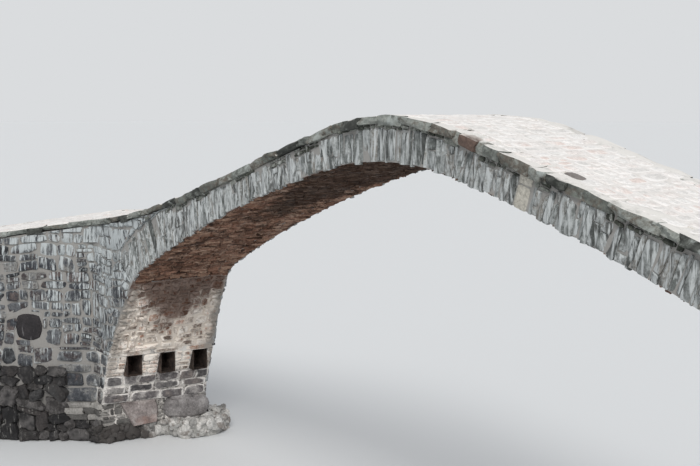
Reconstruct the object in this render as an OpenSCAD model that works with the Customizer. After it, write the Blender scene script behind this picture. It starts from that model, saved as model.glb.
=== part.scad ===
// Stone arch bridge: one humped arch of thin radial slabs between two leaning abutments.
// X runs along the bridge, the shown face looks to -Y, Z is up and the footings stand on Z = 0.

/* [Deck] */
// Width of the bridge from face to face
deck_w = 2800; // [2400:50:3400]
// Height of the deck's crest above the footings' underside
crest_z = 8800; // [8500:50:9600]
// Radius of the deck over the crest
crest_r = 6400; // [5600:100:6900]
// Slope of the deck on the haunches, in degrees
ramp_slope = 16.6; // [15.8:0.1:17]
// Distance from the crest at which the ramp begins to flatten
ramp_end = 6560; // [6000:20:7400]
// Slope that is left where the approach turns off, in degrees
bend_slope = 6.5; // [3:0.5:9]

/* [Arch] */
// Depth of masonry from the crest of the deck to the soffit
crown_t = 800; // [790:10:900]
// Thickness of the arch ring
ring_t = 500; // [400:10:510]
// Depth of the face rings along Y
ring_d = 450; // [300:10:700]
// How far the face rings stand below the soffit of the barrel
soffit_step = 40; // [20:5:80]
// Radius of the soffit at the crown
crown_r = 7640; // [7400:20:8000]
// Radius of the long haunch
haunch_r = 37400; // [36000:100:38500]
// Radius of the tight shoulder over the springing
shoulder_r = 1620; // [1400:20:1900]
// Radius of the abutment's leaning face
wall_r = 11000; // [10000:50:12500]
// Angle from the vertical at which the crown becomes the haunch
crown_a = 14.7; // [14:0.1:16]
// Angle at which the haunch becomes the shoulder
haunch_a = 26.7; // [26:0.1:27.5]
// Angle at which the shoulder becomes the leaning face
shoulder_a = 56.5; // [54:0.5:59]
// Angle of the skewback, where the ring ends on the abutment
skew_a = 50; // [40:1:53]
// Angle at which the crown pieces meet the haunch pieces
joint_a = 19; // [17:0.5:22]

/* [Abutments] */
// How far the foot of the leaning face turns out of square, at each face
twist = 300; // [0:10:320]
// Height over which the face turns from square at the skewback
twist_h = 2000; // [1500:50:2100]
// Height of the rubble footing
footing_h = 450; // [300:10:600]
// How far the footing stands out under the arch
footing_out = 220; // [120:10:500]
// How far the footing stands out at the two faces
footing_side = 120; // [50:10:300]
// Radius of the footing's round nose
nose_r = 900; // [500:50:1100]
// How far the nose stands out past the far face
nose_out = 750; // [150:10:850]
// Height of the course of boulders
boulder_h = 620; // [400:10:700]
// How far the boulders stand out under the arch
boulder_out = 90; // [40:10:110]
// Height of the dressed blocks that hold the putlog holes
block_h = 1500; // [1450:10:1600]
// Width of a putlog hole
putlog_w = 430; // [300:10:500]
// Height of a putlog hole
putlog_h = 570; // [300:10:600]
// Depth of a putlog hole
putlog_deep = 450; // [300:10:520]
// Height of the putlog holes above the boulders
putlog_up = 790; // [500:10:800]
// Spacing of the putlog holes
putlog_pitch = 880; // [700:10:900]
// How far the row of holes is set towards the far face
putlog_shift = 180; // [0:10:200]

/* [Approaches] */
// Distance from the crest to the near corner where the approach turns
bend_x = 12000; // [11950:50:12800]
// Angle in plan by which the approach turns towards the shown face
bend_a = 50; // [30:1:60]
// Length of an approach along its near wall
approach_l = 5000; // [3000:100:6000]
// Slope of the approach, in degrees
approach_slope = 8.3; // [4:0.1:10]
// Thickness of the retaining walls
wall_t = 600; // [450:10:800]

/* [Coping] */
// Width of the coping slabs
coping_w = 380; // [250:10:500]
// Thickness of the paving and of the coping slabs
coping_t = 150; // [120:10:160]
// How far the coping stands out over the face
coping_out = 60; // [20:5:100]

/* [Hidden] */

// Angle between two points of a computed arc
step_a = 1.5;
// Longer than any piece, for the solids that cut others
reach = 60000;
// How far a ruled outline runs past the mitre that trims it
past = 1000;

half_w = deck_w / 2;
mitre_run = deck_w * tan(bend_a / 2);
boulder_z = footing_h;
block_z = boulder_z + boulder_h;
abutment_z = block_z + block_h;

// Centres of the four tangent arcs of the soffit, as [x, z]
function along(a) = [sin(a), cos(a)];
crown_c = [0, crest_z - crown_t - crown_r];
haunch_c = crown_c + (crown_r - haunch_r) * along(crown_a);
shoulder_c = haunch_c + (haunch_r - shoulder_r) * along(haunch_a);
wall_c = shoulder_c + (shoulder_r - wall_r) * along(shoulder_a);

// A point of the arch at angle a, lifted square off the soffit
function arch_pt(a, lift) =
    a <= crown_a ? crown_c + (crown_r + lift) * along(a)
    : a <= haunch_a ? haunch_c + (haunch_r + lift) * along(a)
    : a <= shoulder_a ? shoulder_c + (shoulder_r + lift) * along(a)
    : wall_c + (wall_r + lift) * along(a);
// Angle of the leaning face at height z
function wall_a(z) = z > shoulder_c[1] + shoulder_r * cos(shoulder_a)
    ? acos((z - shoulder_c[1]) / shoulder_r)
    : acos((z - wall_c[1]) / wall_r);
function wall_x(z) = arch_pt(wall_a(z), 0)[0];
// How far the leaning face is turned out of square at height z and depth y
function lean(z, y) = -twist * (y / half_w) * max(0, min(1, (skew_z - z) / twist_h));
function leaned(pts, y) = [for (p = pts) [p[0] + lean(p[1], y), p[1]]];

function arch_pts(a0, a1, lift) =
    let (n = max(1, ceil(abs(a1 - a0) / step_a)))
    [for (i = [0:n]) arch_pt(a0 + (a1 - a0) * i / n, lift)];

// The deck: an arc over the crest, a straight ramp, an arc that flattens it, and a level bend
crest_end = crest_r * sin(ramp_slope);
flat_r = (bend_x - ramp_end) / (sin(ramp_slope) - sin(bend_slope));
flat_x = bend_x + flat_r * sin(bend_slope);
ramp_z = crest_z - crest_r * (1 - cos(ramp_slope)) - (ramp_end - crest_end) * tan(ramp_slope);
flat_z = ramp_z - flat_r * (1 - cos(ramp_slope));
bend_z = flat_z + flat_r * (1 - cos(bend_slope));
function deck_z(x) =
    x <= crest_end ? crest_z - crest_r + sqrt(crest_r * crest_r - x * x)
    : x <= ramp_end ? ramp_z + (ramp_end - x) * tan(ramp_slope)
    : x <= bend_x ? flat_z + flat_r - sqrt(flat_r * flat_r - (flat_x - x) * (flat_x - x))
    : bend_z;
function deck_stops(x0, x1) = [
    x0,
    for (i = [0:9]) crest_end * i / 10,
    crest_end,
    for (i = [0:8]) ramp_end + (bend_x - ramp_end) * i / 8,
    x1
];
function deck_pts(x0, x1, drop) = [
    for (i = [0:len(deck_stops(x0, x1)) - 1])
        let (x = deck_stops(x0, x1)[i])
        if (i == 0 || i == len(deck_stops(x0, x1)) - 1 || (x > x0 + 1 && x < x1 - 1))
            [x, deck_z(x) - drop]
];
function reversed(v) = [for (i = [len(v) - 1:-1:0]) v[i]];

skew_z = arch_pt(skew_a, 0)[1];
joint_x = arch_pt(joint_a, ring_t)[0];
skew_x = arch_pt(skew_a, ring_t)[0];
far_x = bend_x + mitre_run;

// The middle of the whole bridge in Y, where the origin lies
near_end_y = -half_w - approach_l * sin(bend_a) - coping_out * cos(bend_a);
mid_y = (near_end_y + half_w + max(coping_out, footing_side, nose_out)) / 2;

stone_c = "dimgray";
ring_c = "gray";
soffit_c = "rosybrown";
block_c = "slategray";
footing_c = "darkgray";
lime_c = "mistyrose";
coping_c = "darkolivegreen";

// Everything below is drawn for the right half and mirrored for the left one
module side(s) {
    translate([0, -mid_y, 0])
        mirror([s < 0 ? 1 : 0, 0, 0])
            children();
}

// A side view's outline, as [x, z] points, given its depth from y0 to y1
module slab_y(pts, y0, y1) {
    translate([0, y1, 0])
        rotate([90, 0, 0])
            linear_extrude(y1 - y0)
                polygon(pts);
}

// A solid ruled between a side view's outline at depth y0 and one of as many points at y1.
// An outline's last point sees all the others, so each end face is a fan from it.
module ruled(near, far, y0, y1) {
    n = len(near);
    points = [
        for (p = near) [p[0], y0, p[1]],
        for (p = far) [p[0], y1, p[1]]
    ];
    faces = [
        for (i = [0:n - 3])
            each [[n - 1, i, i + 1], [2 * n - 1, n + i + 1, n + i]],
        for (i = [0:n - 1])
            let (j = (i + 1) % n)
                each [[i, n + i, j], [j, n + i, n + j]]
    ];
    polyhedron(points, faces);
}

// What lies on the bridge's side of the mitre at the bend
module bridge_side() {
    slope = [mitre_run, deck_w] / norm([mitre_run, deck_w]);
    near = [bend_x, -half_w] - 2 * deck_w * slope;
    far = [bend_x, -half_w] + 3 * deck_w * slope;
    translate([0, 0, -1])
        linear_extrude(2 * crest_z)
            polygon([near, far, [-1, far[1]], [-1, near[1]]]);
}

// The approach's own frame: u along its near wall, v across it
module approach_frame() {
    translate([bend_x, -half_w, 0])
        rotate([0, 0, -bend_a])
            children();
}

// An approach piece: v from v0 to v1, from the height z0 or z1 below the deck up to drop below it
module approach_piece(v0, v1, low, drop) {
    run = tan(bend_a / 2);
    end_z = bend_z - approach_l * tan(approach_slope);
    top = [[-reach, bend_z - drop], [0, bend_z - drop], [approach_l, end_z - drop]];
    bottom = low < 0
        ? [[approach_l, 0], [-reach, 0]]
        : [[approach_l, end_z - low], [0, bend_z - low], [-reach, bend_z - low]];
    approach_frame()
        intersection() {
            slab_y(concat(top, bottom), v0, v1);
            translate([0, 0, -1])
                linear_extrude(2 * crest_z)
                    polygon([
                        [-v0 * run, v0], [approach_l + 1, v0],
                        [approach_l + 1, v1], [-v1 * run, v1]
                    ]);
        }
}

// Plan of the abutment, from x0 under the arch to the mitre, out past both faces by side_out
module abutment_plan(x0, side_out) {
    y1 = half_w + side_out;
    difference() {
        polygon([
            [x0 + twist * y1 / half_w, -y1], [far_x, -y1],
            [far_x, y1], [x0 - twist * y1 / half_w, y1]
        ]);
        polygon([
            [bend_x, -half_w], [far_x, half_w],
            [far_x + (far_x - bend_x), half_w + deck_w], [2 * far_x, half_w + deck_w],
            [2 * far_x, -half_w - deck_w], [bend_x, -half_w - deck_w]
        ]);
    }
}

// Concrete and rubble footing, with a round nose at the far corner under the arch
module footing() {
    x0 = wall_x(0) - footing_out;
    color(footing_c)
        linear_extrude(footing_h) {
            abutment_plan(x0, footing_side);
            translate([x0, half_w + nose_out - nose_r])
                circle(r = nose_r, $fn = 48);
        }
}

// One course of big boulders on the footing
module boulder_course() {
    color(stone_c)
        translate([0, 0, boulder_z])
            linear_extrude(boulder_h)
                abutment_plan(wall_x(boulder_z) - boulder_out, 0);
}

// Dressed blocks with a row of three putlog holes, which once carried the centring
module block_courses() {
    rows = 4;
    face = [for (i = [0:rows])
        let (z = block_z + block_h * i / rows) [wall_x(z), z]];
    back = [[far_x + past, abutment_z], [far_x + past, block_z]];
    color(block_c)
        difference() {
            intersection() {
                ruled(
                    concat(leaned(face, -half_w), back), concat(leaned(face, half_w), back),
                    -half_w, half_w
                );
                bridge_side();
            }
            for (i = [-1:1]) {
                y = putlog_shift + i * putlog_pitch;
                z = block_z + putlog_up;
                translate([0, y - putlog_w / 2, z])
                    cube([wall_x(z) + lean(z, y) + putlog_deep, putlog_w, putlog_h]);
            }
        }
}

// Rubble abutment from the blocks up to the skewback and the deck, its face turning as it rises
module abutment() {
    face = arch_pts(wall_a(abutment_z), skew_a, 0);
    back = concat(
        [arch_pt(skew_a, ring_t)], deck_pts(skew_x, far_x + past, coping_t),
        [[far_x + past, abutment_z]]
    );
    color(stone_c)
        intersection() {
            ruled(
                concat(leaned(face, -half_w), back), concat(leaned(face, half_w), back),
                -half_w, half_w
            );
            bridge_side();
        }
}

// A band of the arch between two angles, on the crown as well when a0 is negative
module arch_band(a0, a1, lift, y0, y1) {
    low = a0 < 0
        ? concat(mirrored(arch_pts(a1, 0, lift)), arch_pts(step_a, a1, lift))
        : arch_pts(a0, a1, lift);
    high = a0 < 0
        ? concat(mirrored(arch_pts(a1, 0, ring_t)), arch_pts(step_a, a1, ring_t))
        : arch_pts(a0, a1, ring_t);
    slab_y(concat(low, reversed(high)), y0, y1);
}
function mirrored(v) = [for (p = v) [-p[0], p[1]]];

module near_ring(a0, a1) {
    color(ring_c) arch_band(a0, a1, 0, -half_w, -half_w + ring_d);
}

module far_ring(a0, a1) {
    color(ring_c) arch_band(a0, a1, 0, half_w - ring_d, half_w);
}

module barrel(a0, a1) {
    color(soffit_c) arch_band(a0, a1, soffit_step, -half_w + ring_d, half_w - ring_d);
}

// Masonry between the back of the ring and the deck, from the crest to the abutment
module spandrel(y0, y1, c) {
    color(c)
        slab_y(
            concat(arch_pts(0, skew_a, ring_t), reversed(deck_pts(0, skew_x, coping_t))),
            y0, y1
        );
}

// Paving and coping lie on the same bed; the coping takes the two edges
module deck_layer(x0, x1, y0, y1, c) {
    top = x0 < 0
        ? concat(reversed(mirrored(deck_pts(0, x1, 0))), deck_pts(1, x1, 0))
        : deck_pts(x0, x1, 0);
    bed = [for (p = top) p - [0, coping_t]];
    color(c)
        intersection() {
            slab_y(concat(top, reversed(bed)), y0, y1);
            if (x0 >= 0) bridge_side();
            else translate([-reach / 2, -reach / 2, 0]) cube(reach);
        }
}

module paving(x0, x1) {
    deck_layer(x0, x1, -half_w + coping_w, half_w - coping_w, lime_c);
}

module near_coping(x0, x1) {
    deck_layer(x0, x1, -half_w - coping_out, -half_w + coping_w, coping_c);
}

module far_coping(x0, x1) {
    deck_layer(x0, x1, half_w - coping_w, half_w + coping_out, coping_c);
}

module approach_near_wall() {
    color(stone_c) approach_piece(0, wall_t, -1, coping_t);
}

module approach_far_wall() {
    color(stone_c) approach_piece(deck_w - wall_t, deck_w, -1, coping_t);
}

module approach_fill() {
    color(stone_c) approach_piece(wall_t, deck_w - wall_t, -1, coping_t);
}

module approach_paving() {
    color(lime_c) approach_piece(coping_w, deck_w - coping_w, coping_t, 0);
}

module approach_near_coping() {
    color(coping_c) approach_piece(-coping_out, coping_w, coping_t, 0);
}

module approach_far_coping() {
    color(coping_c) approach_piece(deck_w - coping_w, deck_w + coping_out, coping_t, 0);
}

side(-1) footing();  // left_footing
side(1) footing();  // right_footing
side(-1) boulder_course();  // left_boulder_course
side(1) boulder_course();  // right_boulder_course
side(-1) block_courses();  // left_block_courses
side(1) block_courses();  // right_block_courses
side(-1) abutment();  // left_abutment
side(1) abutment();  // right_abutment
side(-1) approach_near_wall();  // left_approach_near_wall
side(1) approach_near_wall();  // right_approach_near_wall
side(-1) approach_far_wall();  // left_approach_far_wall
side(1) approach_far_wall();  // right_approach_far_wall
side(-1) approach_fill();  // left_approach_fill
side(1) approach_fill();  // right_approach_fill
side(-1) approach_paving();  // left_approach_paving
side(1) approach_paving();  // right_approach_paving
side(-1) approach_near_coping();  // left_approach_near_coping
side(1) approach_near_coping();  // right_approach_near_coping
side(-1) approach_far_coping();  // left_approach_far_coping
side(1) approach_far_coping();  // right_approach_far_coping
side(-1) near_ring(joint_a, skew_a);  // near_ring_left
side(1) near_ring(-joint_a, joint_a);  // near_ring_crown
side(1) near_ring(joint_a, skew_a);  // near_ring_right
side(-1) far_ring(joint_a, skew_a);  // far_ring_left
side(1) far_ring(-joint_a, joint_a);  // far_ring_crown
side(1) far_ring(joint_a, skew_a);  // far_ring_right
side(-1) barrel(joint_a, skew_a);  // barrel_left
side(1) barrel(-joint_a, joint_a);  // barrel_crown
side(1) barrel(joint_a, skew_a);  // barrel_right
side(-1) spandrel(-half_w, -half_w + ring_d, ring_c);  // near_spandrel_left
side(1) spandrel(-half_w, -half_w + ring_d, ring_c);  // near_spandrel_right
side(-1) spandrel(half_w - ring_d, half_w, ring_c);  // far_spandrel_left
side(1) spandrel(half_w - ring_d, half_w, ring_c);  // far_spandrel_right
side(-1) spandrel(-half_w + ring_d, half_w - ring_d, stone_c);  // left_spandrel_fill
side(1) spandrel(-half_w + ring_d, half_w - ring_d, stone_c);  // right_spandrel_fill
side(-1) paving(joint_x, far_x);  // paving_left
side(1) paving(-joint_x, joint_x);  // paving_crown
side(1) paving(joint_x, far_x);  // paving_right
side(-1) near_coping(joint_x, far_x);  // near_coping_left
side(1) near_coping(-joint_x, joint_x);  // near_coping_crown
side(1) near_coping(joint_x, far_x);  // near_coping_right
side(-1) far_coping(joint_x, far_x);  // far_coping_left
side(1) far_coping(-joint_x, joint_x);  // far_coping_crown
side(1) far_coping(joint_x, far_x);  // far_coping_right
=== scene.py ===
import math

import bpy
import numpy as np
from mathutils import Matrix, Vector
from mathutils.bvhtree import BVHTree
from numpy.random import default_rng


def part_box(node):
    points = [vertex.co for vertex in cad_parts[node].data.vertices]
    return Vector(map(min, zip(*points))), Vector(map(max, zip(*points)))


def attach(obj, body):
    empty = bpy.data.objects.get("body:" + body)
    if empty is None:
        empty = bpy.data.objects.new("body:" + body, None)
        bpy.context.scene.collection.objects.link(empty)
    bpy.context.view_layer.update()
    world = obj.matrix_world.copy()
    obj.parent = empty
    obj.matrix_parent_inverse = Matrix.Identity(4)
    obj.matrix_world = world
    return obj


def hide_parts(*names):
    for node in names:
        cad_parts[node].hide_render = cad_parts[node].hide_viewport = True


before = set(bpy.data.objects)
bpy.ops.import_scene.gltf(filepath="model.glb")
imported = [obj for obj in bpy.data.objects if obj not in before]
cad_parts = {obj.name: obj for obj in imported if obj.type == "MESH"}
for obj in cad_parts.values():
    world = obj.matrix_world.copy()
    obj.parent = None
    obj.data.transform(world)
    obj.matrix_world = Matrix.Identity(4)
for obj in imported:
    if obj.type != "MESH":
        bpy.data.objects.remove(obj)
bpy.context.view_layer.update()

# The photograph's standpoint: beside the right-hand approach, level with the crest of the deck,
# looking left along the bridge. The frame is 700 by 466 pixels.
near_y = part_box("near_ring_crown")[0][1]
far_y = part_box("far_ring_crown")[1][1]
FRAME_W = 700
FOCAL_PX = 1046.2
YAW, PITCH, ROLL = 51.76, 6.64, -0.18
STAND_X, STAND_BEFORE_FACE, STAND_Z = 13.746, 11.644, 8.864
scene = bpy.context.scene


def add_object(name, data):
    """Adds an object with this data to the scene."""
    added = bpy.data.objects.new(name, data)
    scene.collection.objects.link(added)
    return added


camera_data = bpy.data.cameras.new("photo_camera")
camera_data.sensor_width = 36
camera_data.lens = camera_data.sensor_width * FOCAL_PX / FRAME_W
camera_data.clip_end = 900
camera = add_object("photo_camera", camera_data)
camera.location = (STAND_X, near_y - STAND_BEFORE_FACE, STAND_Z)
camera.rotation_euler = (math.radians(90 - PITCH), math.radians(ROLL), math.radians(YAW))
scene.camera = camera
scene.view_settings.view_transform = "Standard"


# Floor and light: a plain pale floor under the footings, an even grey-white sky and one broad
# soft lamp over the right shoulder of the view, as on a bright day with thin cloud.
def colour(text):
    """Turns an sRGB hex value into the linear colour that a shader takes."""
    parts = [int(text[i:i + 2], 16) / 255 for i in (1, 3, 5)]
    return [p / 12.92 if p <= 0.04045 else ((p + 0.055) / 1.055) ** 2.4 for p in parts] + [1]


def add_node(tree, kind, inputs=None, shades=None, **settings):
    """Adds a shader node with its settings and a ramp's shades. An input is a value, a socket or
    another node, of which the first output is meant."""
    node = tree.nodes.new("ShaderNode" + kind)
    for name, value in settings.items():
        setattr(node, name, value)
    for name, value in (inputs or {}).items():
        if isinstance(value, bpy.types.Node):
            value = value.outputs[0]
        if isinstance(value, bpy.types.NodeSocket):
            tree.links.new(value, node.inputs[name])
        else:
            node.inputs[name].default_value = value
    for i, shade in enumerate(shades or []):
        stops = node.color_ramp.elements
        if i == len(stops):
            stops.new(1)
        stops[i].position = i / (len(shades) - 1)
        stops[i].color = colour(shade)
    return node


FLOOR_SIZE = 1600
SKY_LIGHT = 0.62
SUN_LIGHT = 1.75
SUN_TILT, SUN_TURN, SUN_SPREAD = 50, 55, 25
BACKDROP = "#dadcde"

world = bpy.data.worlds.new("soft_sky")
scene.world = world
world.use_nodes = True
sky = world.node_tree
sky.nodes.clear()
rays = add_node(sky, "LightPath")
seen = add_node(sky, "Math", {
    0: rays.outputs["Is Camera Ray"], 1: rays.outputs["Is Glossy Ray"]}, operation="MAXIMUM")
lit = add_node(sky, "Background", {"Color": colour("#f4f6fa"), "Strength": SKY_LIGHT})
shown = add_node(sky, "Background", {"Color": colour(BACKDROP)})
mixed = add_node(sky, "MixShader", {0: seen, 1: lit, 2: shown})
add_node(sky, "OutputWorld", {"Surface": mixed})

sun_data = bpy.data.lights.new("broad_lamp", "SUN")
sun_data.energy = SUN_LIGHT
sun_data.angle = math.radians(SUN_SPREAD)
sun_data.color = (1, 0.985, 0.96)
sun = add_object("broad_lamp", sun_data)
sun.rotation_euler = (math.radians(SUN_TILT), 0, math.radians(SUN_TURN))

bpy.ops.mesh.primitive_plane_add(size=FLOOR_SIZE, location=(0, 0, -0.002))
floor = bpy.context.active_object
floor.name = "floor"
bpy.ops.object.transform_apply()
floor_paint = bpy.data.materials.new("pale_matt_floor")
floor_paint.use_nodes = True
matt = floor_paint.node_tree.nodes["Principled BSDF"]
matt.inputs["Base Color"].default_value = colour("#e0e2e3")
matt.inputs["Roughness"].default_value = 0.9
floor.data.materials.append(floor_paint)


# The mortared body: every wall, the arch and the fill are one mass of rubble set in lime mortar.
# It shows between the stones as a pale, grainy joint, washed white where lime has run down.

# Real widths in metres: a patch of lichen, a run of lime, its length, a group of runs, a pebble
PATCH_W = 0.435
RUN_W, RUN_L, RUN_GROUP = 0.0667, 0.769, 2
PEBBLE_W = 0.0769
middle_y = (near_y + far_y) / 2


def stone_finish(name, shades, laid=True, mottle=0.25, grain=0.05, flecks=1.0, relief=0.012,
                 coats=()):
    """A weathered stone or mortar: one shade for each stone, mottled, under its coats of dirt.
    A coat is its kind, how much there is of it or the height where it starts, and its colour.
    mottle and grain are the widths of its clouds and grit; real grit is finer than would show."""
    material = bpy.data.materials.new(name)
    material.use_nodes = True
    tree = material.node_tree
    surface = tree.nodes["Principled BSDF"]
    place = add_node(tree, "TexCoord").outputs["Object"]
    axes = add_node(tree, "SeparateXYZ", {0: place}).outputs
    facing = add_node(tree, "NewGeometry").outputs["Normal"]
    facing = add_node(tree, "SeparateXYZ", {0: facing}).outputs["Z"]
    leaning = add_node(tree, "MapRange", {0: facing, "From Min": -0.12, "From Max": -0.25})
    off_middle = add_node(tree, "Math", {0: axes["Y"], 1: middle_y}, operation="SUBTRACT")
    off_middle = add_node(tree, "Math", {0: off_middle}, operation="ABSOLUTE")
    hanging = add_node(tree, "Math", {0: off_middle, 1: -0.9, 2: axes["Z"]}, operation="MULTIPLY_ADD")
    cloudy = add_node(tree, "TexNoise", {
        "Vector": place, "Scale": 1 / mottle, "Detail": 8, "Roughness": 0.65})
    grit = add_node(tree, "TexNoise", {
        "Vector": place, "Scale": 1 / grain, "Detail": 6, "Roughness": 0.7})
    rim = 0
    if laid:
        each = add_node(tree, "Attribute", attribute_name="tint").outputs["Fac"]
        rim = add_node(tree, "Attribute", attribute_name="rim").outputs["Fac"]
        pick = add_node(tree, "Math", {0: cloudy, 1: 1.1, 2: each}, operation="MULTIPLY_ADD")
        pick = add_node(tree, "Math", {0: pick, 1: 0.55}, operation="SUBTRACT")
    else:
        pick = add_node(tree, "Math", {0: cloudy, 1: 2.2, 2: -0.6}, operation="MULTIPLY_ADD")
    shade = add_node(tree, "ValToRGB", {0: pick}, shades)
    speck = add_node(tree, "MapRange", {
        0: grit, "From Min": 0.3, "From Max": 0.7,
        "To Min": 1 - 0.45 * flecks, "To Max": 1 + 0.3 * flecks})
    skin = add_node(tree, "Mix", {0: 1.0, 6: shade, 7: speck},
                    data_type="RGBA", blend_type="MULTIPLY").outputs[2]
    for i, (kind, amount, coat) in enumerate(coats):
        patch = add_node(tree, "Mapping", {"Vector": place, "Location": (3 * i, 5 * i, 0)})
        patch = add_node(tree, "TexNoise", {
            "Vector": patch, "Scale": 1 / PATCH_W, "Detail": 9, "Roughness": 0.7})
        if kind in ("runs", "wash"):
            # Lime or soot that ran straight down; a wash comes from the deck and thins out below
            thin = add_node(tree, "Mapping", {
                "Vector": place, "Location": (i, 0, 7 * i),
                "Scale": (1 / RUN_W, 1 / RUN_W, 1 / RUN_L)})
            thin = add_node(tree, "TexNoise", {
                "Vector": thin, "Scale": 1, "Detail": 5, "Roughness": 0.62})
            broad = add_node(tree, "TexNoise", {"Vector": place, "Scale": 1 / RUN_GROUP})
            level = add_node(tree, "Math", {0: broad, 1: 0.5, 2: thin}, operation="MULTIPLY_ADD")
            low, high = 0.98 - 0.3 * amount, 1.08 - 0.3 * amount
            if kind == "wash":
                level = add_node(tree, "Math", {0: axes["Z"], 1: 0.06, 2: level},
                                 operation="MULTIPLY_ADD")
                low, high = low + 0.22, high + 0.22
        elif kind == "chips":
            # Small stones and pebbles pushed into the joints
            pieces = add_node(tree, "TexVoronoi", {"Vector": place, "Scale": 1 / PEBBLE_W})
            size = add_node(tree, "SeparateColor", {0: pieces.outputs["Color"]})
            level = add_node(tree, "Math", {0: size, 1: pieces.outputs["Distance"]},
                             operation="SUBTRACT")
            low, high = 0.52 - 0.5 * amount, 0.56 - 0.5 * amount
        else:
            # Where the coat lies, how ragged its patches make it, and where it begins and is full
            where, ragged, low, high = {
                # Mortar smeared over the rim of a stone when its joint was filled
                "smear": (rim, 1.3, 1.9 - 0.6 * amount, 2.05 - 0.6 * amount),
                # A colour toward the foot: darker on walls, painted shade on footings, rust on one boulder
                "toward_foot": (axes["Z"], 1.6, amount + 1.4, amount + 0.2),
                # Soot and rust under the arch, hanging down farthest in the middle
                # On the soffit this is partly painted shade, darkest at the crown
                "soot_and_shade": (hanging, 2.6, amount + 1.15, amount + 1.65),
                # Upper faces, rubbed and bleached to the colour of the lime
                "bleach": (facing, 0.6, 1.45 - 0.4 * amount, 1.62 - 0.4 * amount),
                # Rain blown in under both edges of the arch, which greys the lime
                "rain": (off_middle, 0.9, amount + 0.42, amount + 0.6),
                # Painted shade of the undercut along the near side of a footing
                "painted_undercut_shade": (axes["Y"], 1.6, near_y + amount + 0.95, near_y + amount + 0.65),
                # Leaning faces, where no rain falls and the lime keeps its own colour
                "sheltered": (leaning, 0, 1 - amount, 1),
            }.get(kind, (0, 1, 0.68 - 0.22 * amount, 0.76 - 0.22 * amount))
            level = add_node(tree, "Math", {0: patch, 1: ragged, 2: where},
                             operation="MULTIPLY_ADD")
        mask = add_node(tree, "MapRange", {
            0: level, "From Min": low, "From Max": high,
            "To Max": 0.8 if kind == "soot_and_shade" else 0.92})
        if kind == "soot_and_shade" and not laid:
            mask = add_node(tree, "Math", {0: mask, 1: leaning}, operation="MULTIPLY")
        skin = add_node(tree, "Mix", {0: mask, 6: skin, 7: colour(coat)},
                        data_type="RGBA").outputs[2]
    tree.links.new(skin, surface.inputs["Base Color"])
    surface.inputs["Roughness"].default_value = 0.88
    coarse = add_node(tree, "Math", {0: cloudy, 1: 0.8, 2: grit}, operation="MULTIPLY_ADD")
    bump = add_node(tree, "Bump", {
        "Height": coarse, "Distance": relief, "Strength": 0.9})
    tree.links.new(bump.outputs["Normal"], surface.inputs["Normal"])
    return material


# Lime mortar, weathered: grey and gritty, streaked white under the deck, cream where it is dry
# under the lean, and black at the foot
lime_mortar = stone_finish(
    "weathered_lime_mortar", ["#6d6e6c", "#8f908e", "#b3b5b4"], laid=False, mottle=0.3,
    coats=[("chips", 0.5, "#4b4a49"), ("lichen", 0.5, "#4a4c49"), ("wash", 0.8, "#c6cbcb"),
           ("sheltered", 1.0, "#e2d7cb"), ("rain", 1.2, "#928f8b"), ("lichen", 0.3, "#9a8a7d"),
           ("soot_and_shade", 3.15, "#58341f"), ("toward_foot", 0.9, "#2c2a29")])
# Lime pointing, trowelled: the whitest line on the bridge, flecked with chips of stone
joint_mortar = stone_finish(
    "flecked_joint_mortar", ["#8d8986", "#bab5b0", "#dcd7d2"], laid=False, mottle=0.3,
    coats=[("chips", 0.45, "#5d5a58"), ("lime", 0.9, "#e4e0da")])
# Lime mortar grown over with lichen: a dark line under the coping, pale where it faces up
bed_mortar = stone_finish(
    "dark_bed_mortar", ["#2b2b28", "#41413d", "#575753"], laid=False, mottle=0.3,
    coats=[("bleach", 1.0, "#eae6e1")])
# Lime screed, worn: smooth and almost white
bleached_lime = stone_finish(
    "bleached_lime_screed", ["#dcd7d1", "#ece8e4", "#f3f0ec"], laid=False, mottle=0.3, flecks=0.3,
    relief=0.006)
# Lime mortar under soot: a matt brown ground between the soffit's stones
soffit_mortar = stone_finish(
    "sooty_brown_mortar", ["#3f2f27", "#5a4437", "#8d7667"], laid=False)
# Rammed rubble concrete: pale and lumpy, with painted undercut shade on the near side and base
footing_concrete = stone_finish(
    "rubble_concrete", ["#8f8e8a", "#b5b4b0", "#d6d4d0"], laid=False, grain=0.03, relief=0.03,
    coats=[("lichen", 0.35, "#6b6864"), ("painted_undercut_shade", 1.15, "#37322f"), ("toward_foot", -0.35, "#4b4845")])
BODY_FINISH = {
    "footing": footing_concrete, "barrel": soffit_mortar, "paving": bleached_lime,
    "block_courses": joint_mortar, "boulder": joint_mortar, "coping": bed_mortar,
}
for name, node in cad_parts.items():
    node.data.materials.clear()
    node.data.materials.append(
        next((finish for part, finish in BODY_FINISH.items() if part in name), lime_mortar))


# Ring faces: each face of the arch is a row of thin slabs set on edge, square to the curve.
# They are split fieldstone, hammer dressed at the end that shows, and run from soffit to coping.
points, faces = [], []
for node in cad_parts.values():
    faces += [[len(points) + i for i in f.vertices] for f in node.data.polygons]
    points += [v.co.copy() for v in node.data.vertices]
body = BVHTree.FromPolygons(points, faces)


def touch(start, way):
    """Where a straight line from start along way first meets the body of the bridge."""
    return body.ray_cast(Vector(start), Vector(way))[0]


COPING_T = 0.15
DECK_RUN = 13.2
skewback = min((v.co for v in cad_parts["near_ring_right"].data.vertices), key=lambda p: p.z)
arch_x = np.linspace(0, skewback.x - 0.001, 240)
arch_z = np.array([touch((x, near_y + 0.1, -1), (0, 0, 1)).z for x in arch_x])
deck_x = np.linspace(0, DECK_RUN, 200)
deck_z = np.array([touch((x, middle_y, 20), (0, 0, -1)).z for x in deck_x])


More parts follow.
